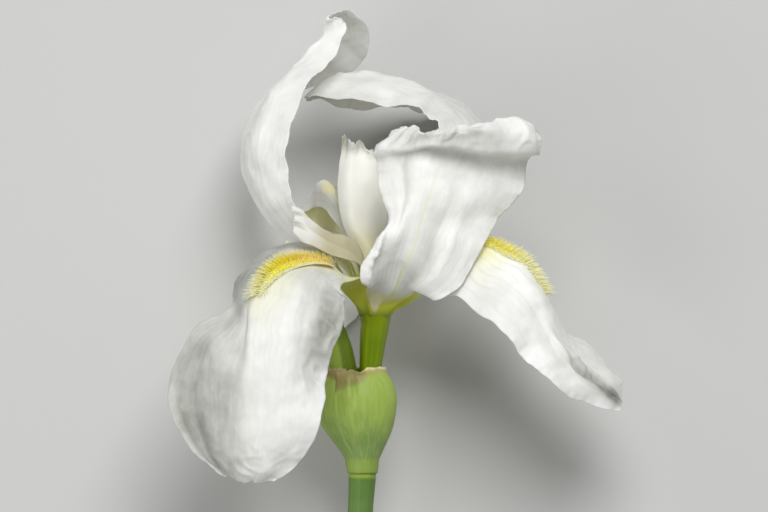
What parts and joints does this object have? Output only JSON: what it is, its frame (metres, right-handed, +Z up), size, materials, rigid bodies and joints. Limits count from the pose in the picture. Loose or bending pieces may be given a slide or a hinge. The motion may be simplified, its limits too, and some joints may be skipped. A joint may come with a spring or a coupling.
{
  "type": "bearded iris flower",
  "caption": "Cut iris stem lying on its back, with one open white flower of upright standards, hanging falls and yellow beards, and a side bud in a green spathe.",
  "frame": {"origin": "On the surface that the flower lies on, under the middle of its bounding box.", "axes": "+Z up from the surface. +Y runs from the cut end of the stem to the flower's top, and is the longest extent. +X is to the right of someone who looks down on the flower with the stem towards them."},
  "size_m": [0.1342, 0.2009, 0.0817],
  "materials": {
    "petal": "satin white petal, faintly translucent, with fine lengthwise veins",
    "beard": "soft golden yellow hairs, orange in the throat and paler at the outer end",
    "style_arm": "satin cream, tinged with khaki at the base",
    "stamen": "matt powdery cream",
    "flower_tube": "smooth waxy olive green with shallow ribs",
    "bract": "waxy light green with fine lengthwise veins, papery and tan at the rim",
    "stem": "smooth blue-green with a thin waxy bloom"
  },
  "bodies": {
    "root": {"fall_left": "petal", "fall_right": "petal", "fall_back": "petal", "standard_front": "petal", "standard_left": "petal", "standard_back": "petal", "beard_left": "beard", "beard_right": "beard", "beard_back": "beard", "style_left": "style_arm", "style_right": "style_arm", "style_back": "style_arm", "stamen_left": "stamen", "stamen_right": "stamen", "stamen_back": "stamen", "perianth_tube": "flower_tube", "side_bud": "bract", "spathe_outer": "bract", "spathe_inner": "bract", "stem": "stem"}
  },
  "joints": []
}
